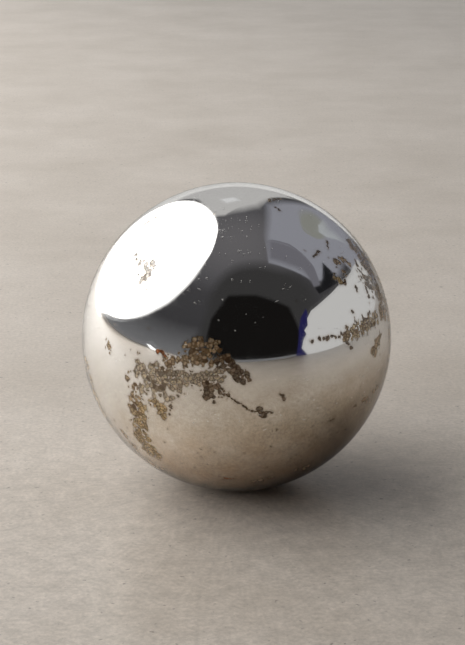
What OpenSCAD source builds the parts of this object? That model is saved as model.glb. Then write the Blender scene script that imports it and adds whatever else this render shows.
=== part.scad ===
// Silvered glass ball: a hollow blown bubble, mirrored on the inside through a
// filling hole in its underside, which a cork and a skin of wax close.
// Origin: middle of the ground foot, on the surface that the ball stands on. +Z is up.

/* [Glass ball] */
// Outer diameter of the ball
ball_d = 100; // [75:1:150]
// Glass thickness at the top, where the bubble stretched thinnest
wall_top = 1.0; // [0.8:0.1:1.6]
// Glass thickness at the bottom, where the blowpipe was
wall_bottom = 2.2; // [1.8:0.1:3]
// Outer diameter of the flat ground on the underside
foot_d = 19; // [17:0.5:22]
// Diameter of the filling hole through the foot
hole_d = 12; // [10:0.5:13]
// Width of the bevel that breaks the hole's sharp edge
hole_bevel = 0.3; // [0.2:0.05:0.4]

/* [Silvering] */
// Thickness drawn for the silver film
silver_t = 0.1; // [0.08:0.01:0.15]
// Thickness drawn for the coat of varnish behind the silver
varnish_t = 0.2; // [0.15:0.01:0.3]
// Gap drawn between one coat and the next
coat_gap = 0.05; // [0.04:0.01:0.08]
// Bare glass left between the filling hole and the edge of the silver
bare_rim = 0.6; // [0.4:0.1:1.5]

/* [Stopper] */
// Length of the cork
cork_l = 14; // [10:0.5:18]
// Diameter of the cork's inner, narrow end
cork_tip_d = 9.2; // [8:0.1:9.5]
// Radial running gap between the cork and the filling hole
cork_fit = 0.05; // [0.03:0.01:0.08]
// Thickness of the wax on the cork's outer end
wax_t = 0.7; // [0.4:0.1:1]
// Height of the wax above the surface that the ball stands on
wax_lift = 0.5; // [0.4:0.1:0.8]

/* [Hidden] */
$fn = 180;
// Overshoot that keeps one cut from ending flush with another
cut = 1;

ball_r = ball_d / 2;
foot_r = foot_d / 2;
hole_r = hole_d / 2;
// The foot is ground until its flat is foot_d across, which sets the ball's height on it
centre_z = sqrt(ball_r * ball_r - foot_r * foot_r);
// The inside is a smaller sphere, raised so that the wall is thicker at the bottom
inner_r = ball_r - (wall_top + wall_bottom) / 2;
inner_z = centre_z + (wall_bottom - wall_top) / 2;
silver_r = inner_r - coat_gap;
varnish_r = silver_r - silver_t - coat_gap;
coat_hole_r = hole_r + bare_rim;

cork_r = hole_r - cork_fit;
cork_z = wax_lift + wax_t;
// Height up to which the cork is straight: past the inner edge of the filling hole
cork_straight = wall_bottom + cork_z;
cork_edge = 0.4;

// A sphere on the ball's axis, around the centre of the hollow
module inside(r) {
  translate([0, 0, inner_z]) sphere(r);
}

// One coat on the inside of the glass, from radius r inwards, with its hole around the stopper
module coat(r, thick) {
  difference() {
    inside(r);
    inside(r - thick);
    translate([0, 0, -cut]) cylinder(r = coat_hole_r, h = inner_z);
  }
}

module glass_ball() {
  color("lightcyan", 0.4)
    difference() {
      translate([0, 0, centre_z]) sphere(ball_r);
      inside(inner_r);
      // the ground foot
      translate([0, 0, -ball_r]) cylinder(r = ball_r, h = ball_r);
      // the filling hole and its bevel
      translate([0, 0, -cut]) cylinder(r = hole_r, h = inner_z);
      translate([0, 0, -cut])
        cylinder(r1 = hole_r + hole_bevel + cut, r2 = hole_r, h = hole_bevel + cut);
    }
}

module silver_lining() {
  color("silver") coat(silver_r, silver_t);
}

module backing_varnish() {
  color("saddlebrown") coat(varnish_r, varnish_t);
}

module cork_stopper() {
  taper_l = cork_l - cork_edge - (cork_straight - cork_z);
  color("burlywood") {
    translate([0, 0, cork_z]) cylinder(r = cork_r, h = cork_straight - cork_z);
    translate([0, 0, cork_straight])
      cylinder(r1 = cork_r, r2 = cork_tip_d / 2, h = taper_l);
    // the inner end's broken edge
    translate([0, 0, cork_straight + taper_l])
      cylinder(r1 = cork_tip_d / 2, r2 = cork_tip_d / 2 - cork_edge, h = cork_edge);
  }
}

module wax_seal() {
  color("darkred")
    translate([0, 0, wax_lift]) cylinder(r = cork_r, h = wax_t);
}

glass_ball();
silver_lining();
backing_varnish();
cork_stopper();
wax_seal();
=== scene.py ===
"""The looks of the silvered glass ball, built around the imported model.

Everything is in metres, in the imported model's frame: +Z is up, the ball's foot is at the origin,
and the main camera looks along +Y. A place on the ball is an azimuth and an elevation in degrees,
seen from the ball's middle: azimuth 0 faces the main camera, and 90 is on its right.
"""

import math

import bmesh
import bpy
import numpy as np
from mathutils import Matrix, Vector


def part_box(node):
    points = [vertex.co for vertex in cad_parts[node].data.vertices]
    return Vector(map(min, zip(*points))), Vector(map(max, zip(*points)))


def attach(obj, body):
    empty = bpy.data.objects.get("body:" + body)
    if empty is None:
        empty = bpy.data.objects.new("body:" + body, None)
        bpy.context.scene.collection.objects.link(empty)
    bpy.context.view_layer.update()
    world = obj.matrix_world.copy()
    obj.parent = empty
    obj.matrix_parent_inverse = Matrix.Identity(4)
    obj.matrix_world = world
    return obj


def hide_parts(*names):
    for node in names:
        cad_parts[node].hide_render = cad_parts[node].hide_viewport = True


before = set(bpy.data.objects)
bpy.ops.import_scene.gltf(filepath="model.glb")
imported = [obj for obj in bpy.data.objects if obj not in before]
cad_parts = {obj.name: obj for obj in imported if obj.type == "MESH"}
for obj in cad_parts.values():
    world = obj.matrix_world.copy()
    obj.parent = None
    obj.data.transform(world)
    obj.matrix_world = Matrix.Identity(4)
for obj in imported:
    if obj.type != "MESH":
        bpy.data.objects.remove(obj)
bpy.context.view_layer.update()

MM = 0.001
# The gaps that the model leaves between glass and silver, and round the cork
COAT_GAP = 0.05 * MM
CORK_FIT = 0.05 * MM
glass_low, glass_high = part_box("glass_ball")
silver_low, silver_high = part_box("silver_lining")
cork_low, cork_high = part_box("cork_stopper")
wax_low, wax_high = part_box("wax_seal")

# The glass, outside and inside. The inside sits a little higher, so the wall is thickest at the foot.
BALL_R = (glass_high.x - glass_low.x) / 2
BALL_MIDDLE = Vector((0, 0, glass_high.z - BALL_R))
INNER_R = (silver_high.x - silver_low.x) / 2 + COAT_GAP
INNER_MIDDLE = Vector((0, 0, silver_high.z - (silver_high.x - silver_low.x) / 2))
FOOT_R = 9.5 * MM
HOLE_R = (cork_high.x - cork_low.x) / 2 + CORK_FIT
BARE_RIM = 0.6 * MM
# The real coats touch the glass, so they are drawn a little way into it, where no air shows between
FILM_R = INNER_R + 0.30 * MM
CRUST_R = INNER_R + 0.18 * MM
VARNISH_R = INNER_R + 0.05 * MM

rng = np.random.default_rng(11)


# ---------------------------------------------------------------- camera and stage


def on_ball(azimuth, elevation):
    """The unit direction from the ball's middle to a place on it."""
    a, e = math.radians(azimuth), math.radians(elevation)
    return Vector((math.sin(a) * math.cos(e), -math.cos(a) * math.cos(e), math.sin(e)))


def aim(obj, target):
    obj.rotation_euler = (target - obj.location).to_track_quat("-Z", "Y").to_euler()


def make_camera():
    """A 100 mm lens from 17 degrees above, with the ball a little below and right of the middle."""
    data = bpy.data.cameras.new("camera")
    data.lens = 100
    camera = bpy.data.objects.new("camera", data)
    bpy.context.scene.collection.objects.link(camera)
    camera.location = BALL_MIDDLE + on_ball(0, 17) * 0.581
    aim(camera, BALL_MIDDLE + Vector((-1.3 * MM, 1.4 * MM, 4.4 * MM)))
    bpy.context.scene.camera = camera


def mesh_object(name, points, faces, material):
    mesh = bpy.data.meshes.new(name)
    mesh.from_pydata([tuple(p) for p in points], [], [tuple(f) for f in faces])
    mesh.materials.append(material)
    obj = bpy.data.objects.new(name, mesh)
    bpy.context.scene.collection.objects.link(obj)
    return obj


def node(tree, kind, **settings):
    """Adds a shader node. Settings name its inputs with _ for a space, or its own properties."""
    made = tree.nodes.new(kind)
    for key, value in settings.items():
        socket = made.inputs.get(key.replace("_", " "))
        if socket is None:
            setattr(made, key, value)
        elif isinstance(value, bpy.types.NodeSocket):
            tree.links.new(value, socket)
        else:
            socket.default_value = value
    return made


def new_material(name):
    """A material with an empty node tree, and its output node."""
    material = bpy.data.materials.new(name)
    material.use_nodes = True
    material.node_tree.nodes.clear()
    return material, material.node_tree, node(material.node_tree, "ShaderNodeOutputMaterial")


def mix(tree, share, first, second):
    """A colour between two, each a socket or an RGB."""
    made = node(tree, "ShaderNodeMix", data_type="RGBA")
    for index, value in ((0, share), (6, first), (7, second)):
        if isinstance(value, bpy.types.NodeSocket):
            tree.links.new(value, made.inputs[index])
        else:
            made.inputs[index].default_value = value if index == 0 else (*value, 1)
    return made.outputs[2]


def band(tree, value, low, high, start=0.0, end=1.0):
    """Goes evenly from start to end while value goes from low to high, and stays level outside."""
    return node(
        tree, "ShaderNodeMapRange", Value=value, From_Min=low, From_Max=high, To_Min=start, To_Max=end
    ).outputs[0]


def maths(tree, operation, first, second):
    """The result of one operation on two values, each a socket or a number."""
    made = node(tree, "ShaderNodeMath", operation=operation)
    for socket, value in zip(made.inputs, (first, second)):
        if isinstance(value, bpy.types.NodeSocket):
            tree.links.new(value, socket)
        else:
            socket.default_value = value
    return made.outputs[0]


def darker(tree, colour, shares):
    """A colour with its red, green and blue scaled down to these shares."""
    made = node(tree, "ShaderNodeVectorMath", operation="MULTIPLY")
    tree.links.new(colour, made.inputs[0])
    made.inputs[1].default_value = shares
    return made.outputs[0]


def blobs(tree, place, size, detail=2.0, rough=0.5):
    """A noise texture whose blobs are about size metres across."""
    made = node(tree, "ShaderNodeTexNoise", Vector=place, Scale=1 / size, Detail=detail, Roughness=rough)
    return made.outputs[0]


def glow(name, colour, strength):
    material, tree, out = new_material(name)
    share = node(tree, "ShaderNodeAttribute", attribute_name="light").outputs["Fac"]
    light = node(tree, "ShaderNodeEmission", Color=(*colour, 1), Strength=strength)
    clear = node(tree, "ShaderNodeBsdfTransparent")
    soft = node(tree, "ShaderNodeMixShader", Fac=share)
    tree.links.new(clear.outputs[0], soft.inputs[1])
    tree.links.new(light.outputs[0], soft.inputs[2])
    tree.links.new(soft.outputs[0], out.inputs["Surface"])
    return material


def rounded(outline, steps=8):
    """A smooth closed curve through the points of an outline (Catmull-Rom)."""
    points = []
    count = len(outline)
    for i in range(count):
        a, b, c, d = (np.array(outline[(i + k) % count], float) for k in (-1, 0, 1, 2))
        for t in np.arange(steps) / steps:
            bend = (2 * a - 5 * b + 4 * c - d) + t * (3 * (b - c) + d - a)
            points.append(b + 0.5 * t * ((c - a) + t * bend))
    return points


def card(name, azimuth, elevation, distance, outline, colour, strength, blur=None):
    """A glowing card that faces the ball, for its reflections and for the light in the scene.

    Azimuth runs from +Y, behind the ball, towards +X. The outline is in units of the distance.
    blur gives how far in from the edge, as a share of its way to the middle, a point reaches full light.
    The camera never sees a card itself.
    """
    towards = on_ball(180 - azimuth, elevation)
    right = towards.cross(Vector((0, 0, 1))).normalized()
    up = right.cross(towards)
    middle = BALL_MIDDLE + towards * distance
    count = len(outline)
    inner = [(u * (1 - blur(u, v)), v * (1 - blur(u, v))) for u, v in outline] if blur else []
    points = [middle + (right * u + up * v) * distance for u, v in [*outline, *inner]]
    faces = [[i, (i + 1) % count, count + (i + 1) % count, count + i] for i in range(count) if blur]
    faces.append(range(count, 2 * count) if blur else range(count))
    obj = mesh_object(name, points, faces, glow(name, colour, strength))
    light = obj.data.attributes.new("light", "FLOAT", "POINT")
    light.data.foreach_set("value", [0.0 if blur and i < count else 1.0 for i in range(len(points))])
    obj.visible_camera = False
    return obj


def pale_stone():
    """Stone with cloudy tones, a fine grain, small pits, and veins that fade out behind the ball.

    Seen from below it is clear, so that the foot and the stopper can be looked at.
    """
    material, tree, out = new_material("pale_stone")
    place = node(tree, "ShaderNodeTexCoord").outputs["Object"]
    tone = node(tree, "ShaderNodeValToRGB", Fac=blobs(tree, place, 1 / 14, 8.0, 0.62))
    tone.color_ramp.elements[0].position = 0.3
    tone.color_ramp.elements[0].color = (0.485, 0.432, 0.376, 1)
    tone.color_ramp.elements[1].position = 0.7
    tone.color_ramp.elements[1].color = (0.60, 0.545, 0.490, 1)
    grain = blobs(tree, place, 1 / 700, 4.0, 0.7)
    speckle = band(tree, grain, 0.3, 0.7, 0.80, 1.15)
    pits = band(tree, blobs(tree, place, 1 / 420), 0.68, 0.74, 1.0, 0.55)
    veins = band(tree, blobs(tree, place, 1 / 170, 5.0, 0.65), 0.3, 0.65, 0.84, 1.10)
    fade = band(tree, node(tree, "ShaderNodeSeparateXYZ", Vector=place).outputs["Y"], -0.04, 0.12, 1.0, 0.25)
    veins = node(tree, "ShaderNodeMix", Factor=fade, A=1.0, B=veins).outputs[0]
    shade = maths(tree, "MULTIPLY", maths(tree, "MULTIPLY", speckle, veins), pits)
    colour = node(tree, "ShaderNodeVectorMath", operation="SCALE", Scale=shade)
    tree.links.new(tone.outputs[0], colour.inputs[0])
    rough = band(tree, grain, 0.3, 0.7, 0.34, 0.44)
    stone = node(tree, "ShaderNodeBsdfPrincipled", Base_Color=colour.outputs[0], Roughness=rough)
    below = node(tree, "ShaderNodeNewGeometry").outputs["Backfacing"]
    switch = node(tree, "ShaderNodeMixShader", Fac=below)
    tree.links.new(stone.outputs[0], switch.inputs[1])
    tree.links.new(node(tree, "ShaderNodeBsdfTransparent").outputs[0], switch.inputs[2])
    tree.links.new(switch.outputs[0], out.inputs["Surface"])
    return material


def make_table():
    """A stone table, all the floor that the ball mirrors, and a floor round it for the camera only."""
    material = pale_stone()
    side, near, far, reach = 2.0, -0.93, 1.6, 8.0
    top = [(-side, near, 0), (side, near, 0), (side, far, 0), (-side, far, 0)]
    table = mesh_object("table", top, [(0, 1, 2, 3)], material)
    around = [(-reach, -reach, 0), (reach, -reach, 0), (reach, reach, 0), (-reach, reach, 0), *top]
    strips = [(0, 1, 5, 4), (1, 2, 6, 5), (2, 3, 7, 6), (3, 0, 4, 7)]
    rest = mesh_object("floor", around, strips, material)
    rest.visible_glossy = rest.visible_transmission = rest.visible_diffuse = False


def make_room():
    """A pale backdrop for the camera, and a dim room for what the ball mirrors and for the fill light."""
    world = bpy.data.worlds.new("room")
    bpy.context.scene.world = world
    world.use_nodes = True
    tree = world.node_tree
    tree.nodes.clear()
    out = node(tree, "ShaderNodeOutputWorld")
    towards = node(tree, "ShaderNodeTexCoord").outputs["Generated"]
    up = node(tree, "ShaderNodeSeparateXYZ", Vector=towards).outputs["Z"]
    ramp = node(tree, "ShaderNodeValToRGB", Fac=up)
    ramp.color_ramp.elements[0].position = 0.0
    ramp.color_ramp.elements[0].color = (0.15, 0.15, 0.155, 1)
    ramp.color_ramp.elements[1].position = 1.0
    ramp.color_ramp.elements[1].color = (0.12, 0.115, 0.12, 1)
    for height, grey in ((0.35, 0.042), (0.7, 0.048), (0.85, 0.085)):
        ramp.color_ramp.elements.new(height).color = (grey, 0.97 * grey, 1.03 * grey, 1)
    room = node(tree, "ShaderNodeBackground", Color=ramp.outputs[0], Strength=1.0)
    backdrop = node(tree, "ShaderNodeBackground", Color=(0.56, 0.515, 0.47, 1), Strength=1.0)
    seen = node(tree, "ShaderNodeLightPath").outputs["Is Camera Ray"]
    mix = node(tree, "ShaderNodeMixShader", Fac=seen)
    tree.links.new(room.outputs[0], mix.inputs[1])
    tree.links.new(backdrop.outputs[0], mix.inputs[2])
    tree.links.new(mix.outputs[0], out.inputs["Surface"])


def make_lights():
    """A big soft window on the left, and two soft lights that have no reflection of their own."""
    window = [
        (1.45, -1.0), (0.55, -0.85), (0.1, -0.7), (-0.26, -0.58), (-0.55, -0.42), (-0.76, -0.2),
        (-0.9, 0.15), (-0.8, 0.58), (-0.4, 0.87), (0.05, 0.9), (0.4, 0.75), (0.75, 0.44),
        (1.1, 0.08), (1.45, -0.3), (1.72, -0.72),
    ]
    card("window", -72, 36, 0.9, rounded(window), (1.0, 0.985, 0.96), 2.55,
         blur=lambda u, v: 0.02 + 0.14 * min(1, max(0, -u - 0.3) * 2))
    square = [(-0.5, -0.5), (0.5, -0.5), (0.5, 0.5), (-0.5, 0.5)]
    key = card("key", -112, 36, 1.3, square, (1.0, 0.98, 0.95), 3.0)
    front = card("front", -165, 45, 1.3, square, (1.0, 0.98, 0.95), 0.5)
    for soft in (key, front):
        soft.visible_glossy = soft.visible_transmission = False


def make_surroundings():
    """What else the ball mirrors: dim walls, a pale card on the right, and dark shapes by the camera."""
    bounce = [
        (-1.24, -0.5), (-1.24, -0.09), (-1.11, 0.06), (-0.72, 0.14), (-0.4, 0.18), (-0.12, 0.22),
        (0.23, 0.24), (0.5, 0.25), (0.62, 0.2), (0.66, 0.12), (0.76, 0.08), (0.74, 0.02),
        (0.84, -0.04), (0.92, -0.16), (0.8, -0.3),
    ]
    pale = card("bounce_card", 90, 12, 0.8, bounce, (1.0, 0.985, 0.965), 0.50)
    fringe = [(1.12, -0.3), (1.0, -0.1), (0.86, 0.14), (0.74, 0.26), (0.56, 0.32), (0.6, 0.1), (0.8, -0.3)]
    card("blue_edge", 90, 12, 0.82, fringe, (0.12, 0.11, 0.5), 0.13)
    side = [
        (-0.67, 0.12), (0.01, 0.48), (0.52, 0.6), (0.55, 0.32), (0.57, 0.1), (0.59, -0.1), (0.29, -0.44),
        (-0.06, -0.5), (-0.3, -1.3), (-1.0, -1.26), (-1.28, -1.0), (-1.3, -0.74), (-0.91, -0.25),
    ]
    right = card("right_wall", 62, 48, 1.5, side, (0.88, 0.89, 1.0), 0.27,
                 blur=lambda u, v: 0.05 if u > 0.3 else 0.22)
    olive = [(-0.62, -0.2), (-0.88, -0.46), (-0.67, -0.47), (-0.23, -0.29), (-0.17, -0.13), (-0.27, -0.05)]
    card("olive_cloth", 62, 48, 1.4, rounded(olive), (0.92, 0.93, 0.84), 0.235, blur=lambda u, v: 0.3)
    fold = [
        (0.11, 0.5), (0.16, 0.25), (0.22, 0.09), (0.35, -0.06), (0.57, -0.18), (0.67, -0.1),
        (0.54, 0.1), (0.53, 0.32), (0.48, 0.62),
    ]
    card("wall_fold", 62, 48, 1.4, fold, (0.9, 0.88, 1.0), 0.15, blur=lambda u, v: 0.05 if v < 0.1 else 0.2)
    streak = [(-0.85, -0.56), (-0.64, -0.52), (-0.62, -0.73), (-0.52, -0.59), (-0.53, -0.44)]
    card("wall_streak", 62, 48, 1.35, streak, (0.93, 0.97, 1.0), 0.38, blur=lambda u, v: 0.5)
    back = [
        (-0.29, -0.3), (-0.24, 0.0), (-0.25, 0.35), (-0.26, 0.64), (-0.12, 0.66), (0.08, 0.56),
        (0.2, 0.42), (0.21, 0.0), (0.27, -0.3),
    ]
    rear = card("back_wall", 0, 32, 1.6, back, (1.0, 0.98, 0.96), 0.46,
                blur=lambda u, v: 0.35 if v > 0.4 and u > -0.1 else 0.12)
    # These would fill the ball's shadow on the table too much
    for wall in (pale, right, rear):
        wall.visible_diffuse = False
    lamp = [(-0.07, -0.06), (0.05, -0.09), (0.09, 0.03), (-0.03, 0.1)]
    card("back_lamp", -4, 44, 1.5, lamp, (1, 1, 1), 0.62, blur=lambda u, v: 0.5)
    horizon = [
        (-1.17, -0.4), (-1.11, 0.32), (-0.43, 0.24), (-0.07, 0.23), (0.12, 0.16), (0.27, 0.03),
        (0.35, -0.2), (0.35, -0.4),
    ]
    card("backdrop", 4, 6, 1.8, horizon, (1.0, 0.985, 0.96), 0.72)
    dark = [(-1.3, -0.3), (-0.9, 0.5), (-0.3, 0.62), (0.12, 0.6), (0.35, 0.24), (0.46, -0.3)]
    card("dark_corner", 180, 15, 1.0, dark, (1.0, 0.9, 0.85), 0.007, blur=lambda u, v: 0.1 if v > 0 else 0.04)
    arch = [
        (0.57, -0.6), (0.48, -0.08), (0.38, 0.27), (0.2, 0.57), (-0.05, 0.76), (-0.44, 0.87),
        (-0.83, 0.86), (-1.24, 0.9), (-1.95, 0.66), (-1.7, 0.1), (-1.3, -0.6),
    ]
    card("dim_arch", 180, 35, 1.2, rounded(arch), (1.0, 0.97, 0.97), 0.036, blur=lambda u, v: 0.34)
    wedge = [(-0.17, 0.1), (0.11, -0.01), (0.21, 0.03), (0.22, -0.05), (-0.19, -0.14)]
    card("dark_wedge", 90, 33, 0.75, wedge, (0.9, 0.9, 1.0), 0.012)
    glint = [(-0.1, -0.03), (0.03, 0.015), (0.1, 0.02), (0.03, -0.02)]
    card("glint", -118, -0.5, 0.8, glint, (1.0, 1.0, 1.0), 1.6)


make_camera()
make_table()
make_room()
make_lights()
make_surroundings()
bpy.context.scene.view_settings.view_transform = "Standard"


# ---------------------------------------------------------------- shapes


def lathe(name, profile, segments, material):
    """Turns a closed profile of (radius, height) points about the Z axis. Radius 0 is one point."""
    points, rings = [], []
    for r, z in profile:
        if r == 0:
            rings.append([len(points)] * segments)
            points.append((0, 0, z))
            continue
        rings.append(range(len(points), len(points) + segments))
        for a in np.arange(segments) * 2 * math.pi / segments:
            points.append((r * math.cos(a), r * math.sin(a), z))
    faces = []
    for low, high in zip(rings, rings[1:]):
        for i in range(segments):
            j = (i + 1) % segments
            face = list(dict.fromkeys([low[i], low[j], high[j], high[i]]))
            if len(face) > 2:
                faces.append(face)
    obj = mesh_object(name, points, faces, material)
    tidy = bmesh.new()
    tidy.from_mesh(obj.data)
    bmesh.ops.recalc_face_normals(tidy, faces=tidy.faces)
    tidy.to_mesh(obj.data)
    tidy.free()
    obj.data.shade_smooth()
    obj.data.set_sharp_from_angle(angle=math.radians(35))
    return obj


def arc(radius, middle_z, start, end, steps):
    """Profile points on a circle about the axis, from one elevation in degrees to another."""
    for e in np.radians(np.linspace(start, end, steps)):
        r = radius * math.cos(e)
        yield (0 if r < 1e-9 else r, middle_z + radius * math.sin(e))


def make_glass(material, ground):
    """The blown ball: outside, ground foot, bevelled filling hole and inside, as one closed wall."""
    foot_angle = -math.degrees(math.acos(FOOT_R / BALL_R))
    hole_angle = -math.degrees(math.acos(HOLE_R / INNER_R))
    bevel = 0.3 * MM
    profile = list(arc(BALL_R, BALL_MIDDLE.z, 90, foot_angle, 160))
    profile += [(FOOT_R - 1.2 * MM, 0), (HOLE_R + bevel + 0.8 * MM, 0), (HOLE_R + bevel, 0), (HOLE_R, bevel)]
    profile += list(arc(INNER_R, INNER_MIDDLE.z, hole_angle, 90, 120))
    obj = lathe("ball_glass", profile, 256, material)
    obj.data.materials.append(ground)
    for face in obj.data.polygons:
        if face.center.z < 0.4 * MM:
            face.material_index = 1
    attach(obj, "ball")
    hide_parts("glass_ball")


def clear_glass():
    material, tree, out = new_material("clear_glass")
    glass = node(tree, "ShaderNodeBsdfPrincipled", Base_Color=(0.985, 0.99, 0.985, 1), Roughness=0.0)
    glass.inputs["Transmission Weight"].default_value = 1.0
    glass.inputs["IOR"].default_value = 1.5
    tree.links.new(glass.outputs[0], out.inputs["Surface"])
    return material


# ---------------------------------------------------------------- where the silver has gone

# Each stain: its colour, half its width in mm, how much of it is bare, and its run over the ball as
# (azimuth, elevation). The front follows the original, and the back, from 110 to 250, is made to match.
STAINS = [
    # The big stain on the left: upper arm, join, right piece and lower band
    ("brown", 2.1, 1.0, [(-17, 12), (-8, 13)]),
    ("dark", 0.9, 0.9, [(-6, 11), (-3, 9)]),
    ("brown", 1.5, 1.0, [(-25, 6), (-14, 8), (-9, 7)]),
    ("brown", 1.8, 1.0, [(-15, 11), (-11, 9)]),
    ("dark", 1.8, 1.0, [(-5, 7), (-1, 5), (2, 2)]),
    ("grey", 2.2, 1.0, [(-26, 0), (-17, 1), (-11, 1), (-7, 3)]),
    # Its left mass, the leg that runs down from it, and the hook between them
    ("grey", 3.3, 0.9, [(-37, 2), (-31, 1), (-27, -2)]),
    ("grey", 2.4, 0.8, [(-38, -3), (-30, -5)]),
    ("brown", 1.9, 0.9, [(-41, -3), (-39, -9), (-41, -16)]),
    ("ochre", 2.9, 1.0, [(-39, -15), (-41, -23), (-42, -30), (-41, -36)]),
    ("grey", 1.5, 0.95, [(-21, -3), (-25, -7)]),
    ("ochre", 1.1, 1.0, [(-31, -10), (-28, -11), (-28, -15)]),
    ("dark", 0.4, 0.8, [(-24, -10), (-25, -14)]),
    ("dark", 1.2, 1.0, [(-10, -1), (-10, -5)]),
    ("dark", 0.3, 1.0, [(-8, -7), (-8, -8)]),
    # The thin vein that ends in a small blob
    ("dark", 0.9, 1.0, [(-7, -2), (-4, -4)]),
    ("dark", 0.25, 1.0, [(-4, -4), (0, -7), (4, -10), (7, -11), (10, -11), (13, -12)]),
    ("dark", 0.6, 0.9, [(7, -10), (10, -12)]),
    # Spots round the big stain
    ("rust", 0.54, 1.0, [(-29, 9), (-26, 8)]),
    ("brown", 0.6, 0.7, [(-32, 5), (-31, 4)]),
    ("dark", 0.45, 1.0, [(16, -5), (17, -7)]),
    ("brown", 0.8, 0.8, [(-54, 7), (-53, 5)]),
    # Down the left edge
    ("ochre", 2.4, 0.6, [(-74, -7), (-73, -13)]),
    ("ochre", 2.4, 0.7, [(-72, -19), (-70, -28), (-76, -38)]),
    ("ochre", 3.4, 0.4, [(-84, -10), (-88, -24), (-86, -36)]),
    ("ochre", 2.2, 0.6, [(-73, -44), (-59, -46), (-47, -47)]),
    ("brown", 1.2, 0.5, [(-56, -30), (-52, -38)]),
    # Low on the front
    ("rust", 0.8, 0.8, [(-8, -47), (-4, -47)]),
    ("brown", 1.1, 0.5, [(32, -45), (39, -44)]),
    ("brown", 0.9, 0.5, [(5, -51), (18, -48)]),
    # High on the right
    ("dark", 0.35, 1.0, [(41, 43), (46, 44)]),
    ("dark", 0.25, 1.0, [(56, 47), (53, 44)]),
    ("brown", 1.4, 0.85, [(51, 39), (55, 35)]),
    ("brown", 0.8, 0.8, [(58, 39), (60, 36)]),
    ("ochre", 0.7, 0.8, [(47, 33), (49, 31)]),
    ("dark", 0.4, 1.0, [(52, 31), (51, 30)]),
    ("brown", 0.4, 1.0, [(68, 36), (67, 34)]),
    ("dark", 0.4, 1.0, [(57, 28), (57, 26)]),
    ("dark", 2.4, 0.6, [(66, 29), (71, 22)]),
    ("dark", 0.5, 0.9, [(64, 25), (64, 22)]),
    ("brown", 3.0, 0.85, [(78, 40), (76, 31), (74, 22), (74, 14)]),
    ("brown", 3.6, 0.6, [(90, 38), (88, 24), (84, 12)]),
    ("dark", 0.35, 1.0, [(49, 20), (50, 19)]),
    ("dark", 0.3, 1.0, [(50, 17), (51, 15)]),
    ("dark", 0.4, 0.9, [(55, 18), (55, 14)]),
    ("dark", 0.4, 0.9, [(57, 15), (61, 17)]),
    # The golden crust along the right of the middle
    ("gold", 1.8, 1.0, [(43, 12), (49, 13), (55, 13), (64, 14)]),
    ("dark", 0.5, 0.7, [(27, 13), (36, 13), (44, 13)]),
    ("dark", 0.4, 1.0, [(44, 10), (46, 7)]),
    ("brown", 1.4, 0.9, [(65, 6), (60, 3)]),
    ("brown", 1.3, 0.6, [(79, 4), (78, 2)]),
    ("brown", 1.8, 0.6, [(78, 4), (80, -6), (78, -16)]),
    ("ochre", 2.4, 0.5, [(88, 2), (88, -12), (84, -26)]),
    # Low on the right
    ("brown", 0.6, 0.7, [(56, -15), (62, -17)]),
    ("dark", 0.4, 1.0, [(50, -16), (51, -16)]),
    ("brown", 0.7, 0.7, [(64, -14), (67, -13)]),
    ("dark", 0.3, 1.0, [(49, -26), (50, -26)]),
    ("dark", 0.3, 1.0, [(38, -19), (40, -19)]),
    # In and above the window's reflection, and over the top
    ("pale", 1.3, 0.95, [(-49, 38), (-44, 34), (-42, 31)]),
    ("pale", 1.1, 1.0, [(-43, 34), (-42, 39)]),
    ("pale", 0.4, 0.6, [(-58, 41), (-50, 38)]),
    ("dark", 0.4, 1.0, [(-72, 52), (-72, 54)]),
    ("dark", 0.3, 1.0, [(-71, 57), (-70, 57)]),
    ("dark", 0.35, 0.7, [(39, 72), (55, 73), (64, 71)]),
    ("dark", 0.3, 1.0, [(41, 68), (41, 66)]),
    # Round the filling hole
    ("brown", 1.6, 0.5, [(a, -68 + 3 * math.sin(a / 20)) for a in range(0, 361, 20)]),
    # The back
    ("grey", 2.8, 0.8, [(118, 20), (126, 8), (122, -6)]),
    ("brown", 1.2, 0.8, [(122, -6), (130, -20), (140, -28)]),
    ("ochre", 1.9, 0.7, [(150, -35), (165, -38), (180, -33)]),
    ("brown", 1.6, 0.8, [(168, 24), (176, 30), (188, 28)]),
    ("dark", 0.25, 1.0, [(188, 28), (196, 20), (205, 16)]),
    ("grey", 2.3, 0.8, [(230, 5), (222, -6), (232, -16)]),
    ("ochre", 1.3, 0.8, [(232, -16), (240, -26)]),
    ("brown", 1.0, 0.8, [(250, 40), (256, 46)]),
    ("brown", 0.8, 0.8, [(150, 60), (158, 56)]),
    ("dark", 0.5, 1.0, [(205, -12), (207, -13)]),
    ("rust", 0.5, 1.0, [(112, 34), (113, 33)]),
]
# For each colour: the crust's own, and its share of pale metal glints
CRUSTS = {
    "brown": ((0.80, 0.58, 0.35), 0.7),
    "dark": ((0.43, 0.30, 0.19), 0.25),
    "grey": ((0.92, 0.79, 0.62), 0.8),
    "ochre": ((1.0, 0.74, 0.38), 0.8),
    "gold": ((0.86, 0.62, 0.34), 1.0),
    "rust": ((0.70, 0.22, 0.06), 0.3),
    "pale": ((0.95, 0.91, 0.88), 0.4),
}


def places(run, step):
    """Points along a run over the ball, as unit vectors about step metres apart."""
    points = []
    for start, end in zip(run, run[1:]):
        a, b = on_ball(*start), on_ball(*end)
        steps = max(1, round((a - b).length * INNER_R / step))
        points += [a.lerp(b, k / steps).normalized() for k in range(steps)]
    return np.array([*points, on_ball(*run[-1])])


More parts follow.
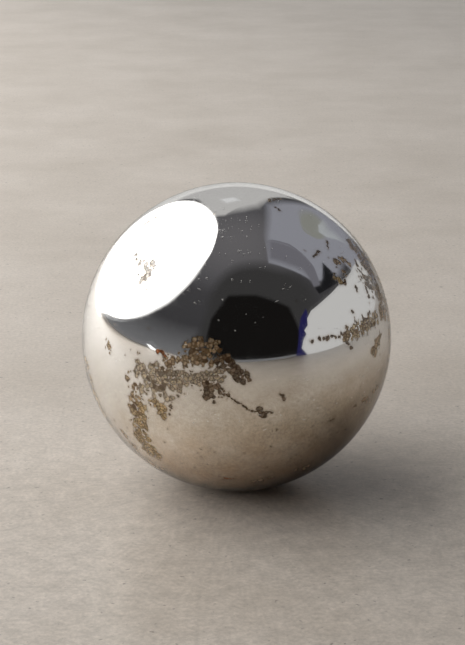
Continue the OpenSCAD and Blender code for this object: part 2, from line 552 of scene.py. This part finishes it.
def scatter():
    """The silver's losses: small spots crowded along the stains. Gives centres, radii and colour numbers."""
    count = 26000
    k = np.arange(count) + 0.5
    tilt = np.arccos(1 - 2 * k / count)
    turn = math.pi * (1 + math.sqrt(5)) * k
    sites = np.stack([np.cos(turn) * np.sin(tilt), np.sin(turn) * np.sin(tilt), np.cos(tilt)], 1)
    sites += rng.normal(0, 0.006, sites.shape)
    sites /= np.linalg.norm(sites, axis=1)[:, None]
    islands = noise(sites * INNER_R, 2.2 * MM, 4)
    centres, radii, colours = [], [], []

    def add(where, sizes, colour):
        centres.append(where)
        radii.append(sizes)
        colours.append(np.full(len(where), list(CRUSTS).index(colour)))

    for colour, half_width, full, run in STAINS:
        width = half_width * MM
        if half_width < 0.55:
            line = places(run, 1.5 * width)
            line = directions(line + rng.normal(0, 0.5 * width / INNER_R, line.shape))
            line = line[rng.random(len(line)) < full]
            add(line, width * rng.uniform(0.7, 1.4, len(line)), colour)
            continue
        line = places(run, 0.5 * MM)
        away = np.sqrt(np.maximum(0, 2 - 2 * (sites @ line.T).max(axis=1))) * INNER_R
        depth = width * (1 + 0.4 * noise(sites * INNER_R, 2.2 * MM, 3)) - away
        bare = (depth > 0) & (rng.random(count) < full) & ((islands < 0.30) | (full == 1))
        add(sites[bare], rng.uniform(0.35, 0.95, bare.sum()) * MM, colour)
        # A fringe of small spots just outside
        fringe = (depth <= 0) & (depth > -0.9 * MM) & (rng.random(count) < 0.35 * full)
        add(sites[fringe], rng.uniform(0.12, 0.34, fringe.sum()) * MM, colour)
    # Pinholes everywhere, and more of them low down
    pins = sites[rng.random(count) < 0.003 + 0.013 * (sites[:, 2] < -0.1)]
    add(pins, rng.uniform(0.08, 0.2, len(pins)) * MM, "dark")
    return np.concatenate(centres), np.concatenate(radii), np.concatenate(colours)


def noise(points, scale, seed):
    """Smooth random values from -1 to 1 at the points. scale is the size of a blob in metres."""
    cell = np.floor(points / scale).astype(np.int64)
    part = points / scale - cell
    part = part * part * (3 - 2 * part)
    total = np.zeros(len(points))
    for corner in np.ndindex(2, 2, 2):
        x, y, z = (cell + corner).T
        mixed = (x * 374761393 + y * 668265263 + z * 1440662683 + seed * 974634777) & 0xFFFFFFFF
        mixed = ((mixed ^ (mixed >> 13)) * 1274126177) & 0xFFFFFFFF
        weight = np.prod(np.where(corner, part, 1 - part), axis=1)
        total += weight * (((mixed >> 9) & 0xFFFF) / 32768 - 1)
    return total


def directions(points):
    return points / np.linalg.norm(points, axis=1)[:, None]


def into_loss(points):
    """How far each point is inside its nearest loss and inside that loss's own cell, and which loss it is."""
    depth, wall, which = [], [], []
    # The points are moved about a little first, so that no spot comes out round
    warp = [0.42 * noise(points, 1.3 * MM, 16 + k) + 0.16 * noise(points, 0.5 * MM, 26 + k) for k in range(3)]
    moved = directions(directions(points) * INNER_R + np.stack(warp, axis=1) * MM)
    for some in np.array_split(moved, max(1, len(points) // 1500)):
        inside = spot_r - INNER_R * np.sqrt(np.maximum(0, 2 - 2 * some @ spot_at.T))
        rows = np.arange(len(some))
        first = inside.argmax(axis=1)
        best = inside[rows, first]
        inside[rows, first] = -1
        depth.append(best)
        wall.append(np.minimum(best, (best - inside.max(axis=1)) / 2))
        which.append(first)
    return np.concatenate(depth), np.concatenate(wall), np.concatenate(which)


def number_edges(faces, size):
    """The mesh's edges as pairs of points, and the number of each face's three."""
    pairs = np.sort(faces[:, [0, 1, 1, 2, 2, 0]].reshape(-1, 2), axis=1)
    keys, which = np.unique(pairs[:, 0] * size + pairs[:, 1], return_inverse=True)
    return keys // size, keys % size, which.reshape(-1, 3)


def join(*corners):
    return np.stack(corners, axis=1)


def refine(points, faces, field, longest):
    """Halves the edges that are too long at either end, so that the triangles are small beside the losses."""
    value = field(points)
    for _ in range(8):
        a, b, which = number_edges(faces, len(points))
        length = np.linalg.norm(points[a] - points[b], axis=1)
        long = length > np.minimum(longest(value[a]), longest(value[b]))
        if not long.any():
            break
        halves = directions(points[a[long]] + points[b[long]]) * np.linalg.norm(points[0])
        number = np.full(len(a), -1)
        number[long] = len(points) + np.arange(len(halves))
        points, value = np.concatenate([points, halves]), np.concatenate([value, field(halves)])
        middles = number[which]
        parts = [faces[(middles < 0).all(axis=1)]]
        for turn in range(3):
            f, m = np.roll(faces, -turn, axis=1), np.roll(middles, -turn, axis=1)
            one = (m[:, 0] >= 0) & (m[:, 1] < 0) & (m[:, 2] < 0)
            (u, v, w), p = f[one].T, m[one, 0]
            parts += [join(u, p, w), join(p, v, w)]
            two = (m[:, 0] >= 0) & (m[:, 1] >= 0) & (m[:, 2] < 0)
            (u, v, w), (p, q) = f[two].T, m[two, :2].T
            parts += [join(p, v, q), join(u, p, q), join(u, q, w)]
        every = (middles >= 0).all(axis=1)
        (u, v, w), (p, q, r) = faces[every].T, middles[every].T
        parts += [join(u, p, r), join(p, v, q), join(r, q, w), join(p, q, r)]
        faces = np.concatenate(parts)
    return points, faces, value


def cut(points, faces, value):
    """Cuts the triangles where value is 0. Gives all points, the faces below 0, and the faces above."""
    a, b, which = number_edges(faces, len(points))
    over = value > 0
    crossed = over[a] != over[b]
    share = (value[a] / np.where(crossed, value[a] - value[b], 1))[crossed, None]
    number = np.full(len(a), -1)
    number[crossed] = len(points) + np.arange(crossed.sum())
    met = points[a[crossed]] * (1 - share) + points[b[crossed]] * share
    middles = number[which]
    whole = (middles < 0).all(axis=1)
    sides = {True: [faces[whole & over[faces[:, 0]]]], False: [faces[whole & ~over[faces[:, 0]]]]}
    for turn in range(3):
        f, m = np.roll(faces, -turn, axis=1), np.roll(middles, -turn, axis=1)
        alone = (m[:, 0] >= 0) & (m[:, 2] >= 0)
        (u, v, w), p, q = f[alone].T, m[alone, 0], m[alone, 2]
        for side in (True, False):
            tip = over[u] == side
            sides[side].append(join(u, p, q)[tip])
            sides[side] += [join(p, v, w)[~tip], join(p, w, q)[~tip]]
    return np.concatenate([points, met]), np.concatenate(sides[False]), np.concatenate(sides[True])


def shell_object(name, points, faces, height, material, polished=False):
    """A layer of the ball's lining. height(points) is how far each point stands off its sphere.

    On a polished layer the shading follows the height exactly, so that it mirrors without facets.
    """
    used, faces = np.unique(faces, return_inverse=True)
    points, faces = points[used], faces.reshape(-1, 3)
    out = directions(points)
    placed = points + out * height(points)[:, None] + np.array(INNER_MIDDLE)
    obj = mesh_object(name, placed, faces, material)
    obj.data.shade_smooth()
    if polished:
        step = 0.05 * MM
        rise = [height(points + step * axis) - height(points - step * axis) for axis in np.eye(3)]
        slope = np.stack(rise, axis=1) / (2 * step)
        slope -= out * (slope * out).sum(axis=1)[:, None]
        obj.data.normals_split_custom_set_from_vertices(directions(out - slope))
    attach(obj, "ball")
    return obj, points


def attribute(obj, name, values):
    made = obj.data.attributes.new(name, "FLOAT_COLOR" if values.ndim > 1 else "FLOAT", "POINT")
    if values.ndim > 1:
        values = np.column_stack([values, np.ones(len(values))])
        made.data.foreach_set("color", values.ravel())
    else:
        made.data.foreach_set("value", values)


def whole_ball(radius, subdivisions):
    """An even triangle mesh of a whole sphere about the origin."""
    seed = bmesh.new()
    bmesh.ops.create_icosphere(seed, subdivisions=subdivisions, radius=radius)
    points = np.array([v.co for v in seed.verts])
    faces = np.array([[v.index for v in f.verts] for f in seed.faces])
    seed.free()
    return points, faces


def open_below(points, faces):
    """Leaves the inner rim of the filling hole bare. The new points come after the old ones."""
    rim = HOLE_R + BARE_RIM - np.hypot(points[:, 0], points[:, 1])
    rim[points[:, 2] > 0] = -1
    return cut(points, faces, rim)[:2]


def make_lining():
    """The silver with its losses cut out, the crust that shows through them, and the varnish behind both."""

    def fine(depth):
        return np.where(depth > 0, 0.30 * MM, np.maximum(0.27 * MM, -1.6 * depth))

    def depth_at(points):
        return into_loss(points)[0]

    points, faces, depth = refine(*whole_ball(FILM_R, 5), depth_at, fine)
    points, faces = open_below(points, faces)
    depth = np.concatenate([depth, depth_at(points[len(depth):])])
    film_points, film_faces, _ = cut(points, faces, depth)
    crust_points, _, crust_faces = cut(points, faces, depth + 0.15 * MM)

    def film_height(points):
        return (0.010 * noise(points, 22 * MM, 5) + 0.003 * noise(points, 7 * MM, 6)) * MM

    film, at = shell_object("silver_film", film_points, film_faces, film_height, tarnished_and_shaded_silver(), polished=True)
    attribute(film, "near_loss", np.exp(into_loss(at)[0] / (0.25 * MM)))
    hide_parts("silver_lining")

    def crust_height(points):
        wall = into_loss(points)[1]
        ridge = np.exp(-(((wall - 0.12 * MM) / (0.10 * MM)) ** 2))
        grain = noise(points, 0.5 * MM, 8) + 0.5 * noise(points, 0.25 * MM, 9)
        return CRUST_R - FILM_R + (0.05 * ridge + 0.03 * grain - 0.02) * MM

    crust, at = shell_object("lining_crust", crust_points, crust_faces, crust_height, crust_looks())
    _, wall, which = into_loss(at)
    colours = np.array([colour for colour, _ in CRUSTS.values()])[spot_colour[which]]
    colours = colours * rng.uniform(0.7, 1.25, len(spot_r))[which, None]
    attribute(crust, "tint", colours)
    attribute(crust, "glints", np.array([glints for _, glints in CRUSTS.values()])[spot_colour[which]])
    attribute(crust, "wall", np.clip(wall / (0.36 * MM), 0, 1))

    def brushed(points):
        return (0.02 * noise(points, 3 * MM, 14) + 0.015 * noise(points * (1, 1, 0.2), 0.7 * MM, 15)) * MM

    points, faces = open_below(*whole_ball(VARNISH_R, 6))
    varnish, _ = shell_object("varnish_coat", points, faces, brushed, old_varnish())
    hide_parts("backing_varnish")


# ---------------------------------------------------------------- stopper and dust


def wear(obj, depth):
    """Sinks the surface of a piece by depth(points), along its own normals."""
    mesh = obj.data
    points = np.array([v.co for v in mesh.vertices])
    normals = np.array([v.normal for v in mesh.vertices])
    mesh.vertices.foreach_set("co", (points - normals * depth(points)[:, None]).ravel())
    mesh.update()


def cork_pits(points):
    """Pores and the long channels of cut bark."""
    pores = np.clip(noise(points, 1.1 * MM, 21) - 0.30, 0, 1) * 0.7
    channels = np.clip(noise(points * (0.35, 1, 1), 1.3 * MM, 22) - 0.35, 0, 1) * 0.8
    return (pores + channels + 0.03 + 0.03 * noise(points, 0.4 * MM, 23)) * MM


def make_cork(material):
    """The cork: straight where it fills the hole, then tapering, with broken edges."""
    low, high, r = cork_low.z, cork_high.z, (cork_high.x - cork_low.x) / 2
    tip = 4.6 * MM
    edge = 0.4 * MM
    profile = [(k * MM, low) for k in np.arange(0, 5.6, 0.35)]
    profile += [(r - 0.12 * MM, low), (r, low + 0.12 * MM)]
    profile += [(r, low + k * MM) for k in np.arange(0.4, 3.5, 0.35)]
    taper = np.linspace(0, 1, 32)
    profile += [(r + (tip - r) * t, low + 3.6 * MM + (high - edge - low - 3.6 * MM) * t) for t in taper]
    profile += [(k * MM, high) for k in np.arange(4.2, 0, -0.35)] + [(0, high)]
    obj = lathe("cork", profile, 128, material)
    wear(obj, cork_pits)
    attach(obj, "stopper")
    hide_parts("cork_stopper")


def wax_dents(points):
    dents = 0.5 + 0.5 * noise(points, 2.6 * MM, 31) + 0.25 * noise(points, 0.9 * MM, 32)
    return np.clip(dents, 0, 1) * 0.16 * MM


def make_wax(material):
    """The wax over the cork's end: a poured skin with a rounded, uneven edge."""
    low, high, r = wax_low.z, wax_high.z, (wax_high.x - wax_low.x) / 2
    middle, half = (low + high) / 2, (high - low) / 2
    profile = [(k * MM, low) for k in np.arange(0, 5.5, 0.3)]
    edge = np.linspace(-1.5, 1.5, 9)
    profile += [(r - half + half * math.cos(a), middle + half * math.sin(a)) for a in edge]
    profile += [(k * MM, high) for k in np.arange(5.2, 0, -0.4)] + [(0, high)]
    obj = lathe("wax", profile, 128, material)
    wear(obj, wax_dents)
    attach(obj, "stopper")
    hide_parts("wax_seal")


def make_dust(material):
    """Specks and short fibres of dust on the glass, with rows of them left high on the front by a cloth."""
    rows = [
        [(-12, 57), (-4, 58), (3, 58)], [(-3, 50), (-1, 54)], [(-9, 47), (2, 48), (12, 47)],
        [(2, 60), (13, 60)], [(-24, 30), (-16, 34)], [(-2, 36), (6, 36)], [(-20, 44), (-14, 48)],
        [(-14, 53), (6, 54)], [(2, 44), (14, 42)], [(-10, 62), (6, 63)], [(16, 30), (24, 34)],
    ]
    wanted = [spot for row in rows for spot in places(row, 0.8 * MM) if rng.random() < 0.5]
    wanted = [directions(np.array([spot]) + rng.normal(0, 0.013, 3))[0] for spot in wanted]
    scattered = directions(rng.normal(0, 1, (420, 3)))
    wanted += list(scattered[scattered[:, 2] > -0.3])
    points, faces = [], []
    sides = 6
    for out in wanted:
        across = np.cross(out, (0, 0, 1))
        across /= np.linalg.norm(across)
        turn = rng.normal(0, 0.3)
        along = across * math.cos(turn) + np.cross(out, across) * math.sin(turn)
        beside = np.cross(out, along)
        size = rng.uniform(0.09, 0.2) * MM
        stretch = rng.choice([1, 1, 2, 4])
        middle = np.array(BALL_MIDDLE) + out * BALL_R
        first = len(points)
        for k in range(sides):
            a = 2 * math.pi * k / sides + rng.uniform(-0.3, 0.3)
            reach = size * rng.uniform(0.6, 1.2)
            spread = along * math.cos(a) * stretch + beside * math.sin(a) / math.sqrt(stretch)
            points.append(middle + reach * spread)
        points.append(middle + out * 0.5 * size)
        faces += [(first + k, first + (k + 1) % sides, first + sides) for k in range(sides)]
    obj = mesh_object("dust", points, faces, material)
    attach(obj, "ball")


# ---------------------------------------------------------------- materials


def tarnished_and_shaded_silver():
    """Mirror silver, mottled and tarnished round every loss, with painted shade: warmer and darker low down
    and to the right, where it mirrors the ball's own shadow on the table.
    """
    material, tree, out = new_material("tarnished_and_shaded_silver")
    place = node(tree, "ShaderNodeTexCoord").outputs["Object"]
    across = node(tree, "ShaderNodeSeparateXYZ", Vector=place).outputs["X"]
    height = node(tree, "ShaderNodeSeparateXYZ", Vector=place).outputs["Z"]
    # painted shade: the tints below grow from a quarter at the left to full at the right, where the ball
    # mirrors its own shadow on the table
    painted_shade_to_right = band(tree, across, -0.038, 0.036, 0.25, 1.0)
    # painted shade: warmer and darker low down, and more so to the right, for that mirrored shadow, mottled
    # and specked
    low = maths(tree, "MULTIPLY", painted_shade_to_right, band(tree, height, 0.056, 0.034))
    mottle = band(tree, blobs(tree, place, 9 * MM, 4.0, 0.6), 0.35, 0.7)
    colour = mix(tree, low, (0.94, 0.935, 0.93), (0.82, 0.72, 0.57))
    colour = mix(tree, maths(tree, "MULTIPLY", low, mottle), colour, (0.66, 0.55, 0.41))
    fine = band(tree, blobs(tree, place, 0.9 * MM, 5.0, 0.8), 0.44, 0.70, 0.0, 0.55)
    colour = mix(tree, maths(tree, "MULTIPLY", low, fine), colour, (0.40, 0.30, 0.20))
    # partly painted shade, partly tarnish: brown at the very bottom, for the contact shadow mirrored there,
    # mottled and stronger to the right
    bottom_shade_and_tarnish = maths(tree, "MULTIPLY", band(tree, height, 0.036, 0.012), band(tree, mottle, 0.0, 1.0, 0.6, 1.0))
    bottom_shade_and_tarnish = maths(tree, "MULTIPLY", bottom_shade_and_tarnish, band(tree, across, -0.038, 0.010, 0.45, 1.0))
    colour = mix(tree, bottom_shade_and_tarnish, colour, (0.62, 0.41, 0.24))
    # painted shade: dark brown on the lower right edge, for the ball's shadow on the table mirrored there,
    # mottled
    edge = maths(tree, "MULTIPLY", band(tree, across, 0.022, 0.045), band(tree, height, 0.052, 0.040))
    edge = maths(tree, "MULTIPLY", edge, band(tree, mottle, 0.0, 1.0, 0.45, 0.8))
    colour = mix(tree, edge, colour, (0.32, 0.23, 0.15))
    near = node(tree, "ShaderNodeAttribute", attribute_name="near_loss").outputs["Fac"]
    colour = mix(tree, maths(tree, "MULTIPLY", near, 0.7), colour, (0.36, 0.27, 0.18))
    haze = band(tree, blobs(tree, place, 5 * MM, 6.0, 0.7), 0.45, 0.8, 0.02, 0.10)
    rough = maths(tree, "ADD", haze, maths(tree, "MULTIPLY", near, 0.15))
    silver = node(tree, "ShaderNodeBsdfPrincipled", Base_Color=colour, Roughness=rough, Metallic=1.0)
    tree.links.new(silver.outputs[0], out.inputs["Surface"])
    return material


def crust_looks():
    """Corroded silver and brown varnish: dark outlines, and cells with glints of old metal."""
    material, tree, out = new_material("lining_crust")
    place = node(tree, "ShaderNodeTexCoord").outputs["Object"]
    tint = node(tree, "ShaderNodeAttribute", attribute_name="tint").outputs["Color"]
    wall = node(tree, "ShaderNodeAttribute", attribute_name="wall").outputs["Fac"]
    glints = node(tree, "ShaderNodeAttribute", attribute_name="glints").outputs["Fac"]
    grit = band(tree, blobs(tree, place, 0.6 * MM, 3.0, 0.6), 0.35, 0.60)
    colour = mix(tree, grit, darker(tree, tint, (0.47, 0.44, 0.43)), tint)
    colour = mix(tree, band(tree, wall, 0.44, 0.12), colour, darker(tree, tint, (0.33, 0.27, 0.21)))
    sparks = band(tree, blobs(tree, place, 0.65 * MM, 1.0), 0.47, 0.57)
    sparks = maths(tree, "MULTIPLY", maths(tree, "MULTIPLY", sparks, glints), band(tree, wall, 0.3, 0.8))
    colour = mix(tree, sparks, colour, (0.95, 0.80, 0.55))
    metal = band(tree, sparks, 0.0, 1.0, 0.75, 1.0)
    rough = band(tree, sparks, 0.0, 1.0, 0.5, 0.25)
    crust = node(tree, "ShaderNodeBsdfPrincipled", Base_Color=colour, Roughness=rough, Metallic=metal)
    tree.links.new(crust.outputs[0], out.inputs["Surface"])
    return material


def old_varnish():
    """Brown shellac, brushed on thick and thin."""
    material, tree, out = new_material("old_varnish")
    place = node(tree, "ShaderNodeTexCoord").outputs["Object"]
    thick = band(tree, blobs(tree, place, 6 * MM, 5.0, 0.6), 0.3, 0.7)
    colour = mix(tree, thick, (0.26, 0.14, 0.06), (0.10, 0.045, 0.02))
    rough = band(tree, blobs(tree, place, 1.2 * MM, 3.0), 0.3, 0.7, 0.18, 0.4)
    coat = node(tree, "ShaderNodeBsdfPrincipled", Base_Color=colour, Roughness=rough)
    tree.links.new(coat.outputs[0], out.inputs["Surface"])
    return material


def ground_glass():
    """The foot, ground matt."""
    material, tree, out = new_material("ground_glass")
    place = node(tree, "ShaderNodeTexCoord").outputs["Object"]
    rough = band(tree, blobs(tree, place, 0.4 * MM, 4.0), 0.3, 0.7, 0.35, 0.65)
    glass = node(tree, "ShaderNodeBsdfPrincipled", Base_Color=(0.95, 0.96, 0.95, 1), Roughness=rough)
    glass.inputs["Transmission Weight"].default_value = 1.0
    glass.inputs["IOR"].default_value = 1.5
    tree.links.new(glass.outputs[0], out.inputs["Surface"])
    return material


def natural_cork():
    material, tree, out = new_material("natural_cork")
    place = node(tree, "ShaderNodeTexCoord").outputs["Object"]
    cells = band(tree, blobs(tree, place, 0.5 * MM, 4.0, 0.7), 0.35, 0.7)
    colour = mix(tree, cells, (0.42, 0.25, 0.13), (0.66, 0.46, 0.28))
    bark = band(tree, blobs(tree, place, 1.6 * MM, 3.0), 0.60, 0.68)
    colour = mix(tree, bark, colour, (0.16, 0.08, 0.04))
    rough = band(tree, cells, 0.0, 1.0, 0.95, 0.75)
    cork = node(tree, "ShaderNodeBsdfPrincipled", Base_Color=colour, Roughness=rough)
    tree.links.new(cork.outputs[0], out.inputs["Surface"])
    return material


def sealing_wax():
    material, tree, out = new_material("sealing_wax")
    place = node(tree, "ShaderNodeTexCoord").outputs["Object"]
    cloud = band(tree, blobs(tree, place, 2.2 * MM, 4.0), 0.3, 0.7)
    colour = mix(tree, cloud, (0.34, 0.035, 0.022), (0.20, 0.02, 0.014))
    rough = band(tree, blobs(tree, place, 0.7 * MM, 3.0), 0.3, 0.7, 0.32, 0.55)
    wax = node(tree, "ShaderNodeBsdfPrincipled", Base_Color=colour, Roughness=rough)
    tree.links.new(wax.outputs[0], out.inputs["Surface"])
    return material


def pale_dust():
    material, tree, out = new_material("pale_dust")
    place = node(tree, "ShaderNodeTexCoord").outputs["Object"]
    colour = mix(tree, blobs(tree, place, 4 * MM), (0.80, 0.79, 0.77), (0.95, 0.95, 0.94))
    dust = node(tree, "ShaderNodeBsdfPrincipled", Base_Color=colour, Roughness=1.0)
    tree.links.new(dust.outputs[0], out.inputs["Surface"])
    return material


make_glass(clear_glass(), ground_glass())
spot_at, spot_r, spot_colour = scatter()
make_lining()
make_cork(natural_cork())
make_wax(sealing_wax())
make_dust(pale_dust())
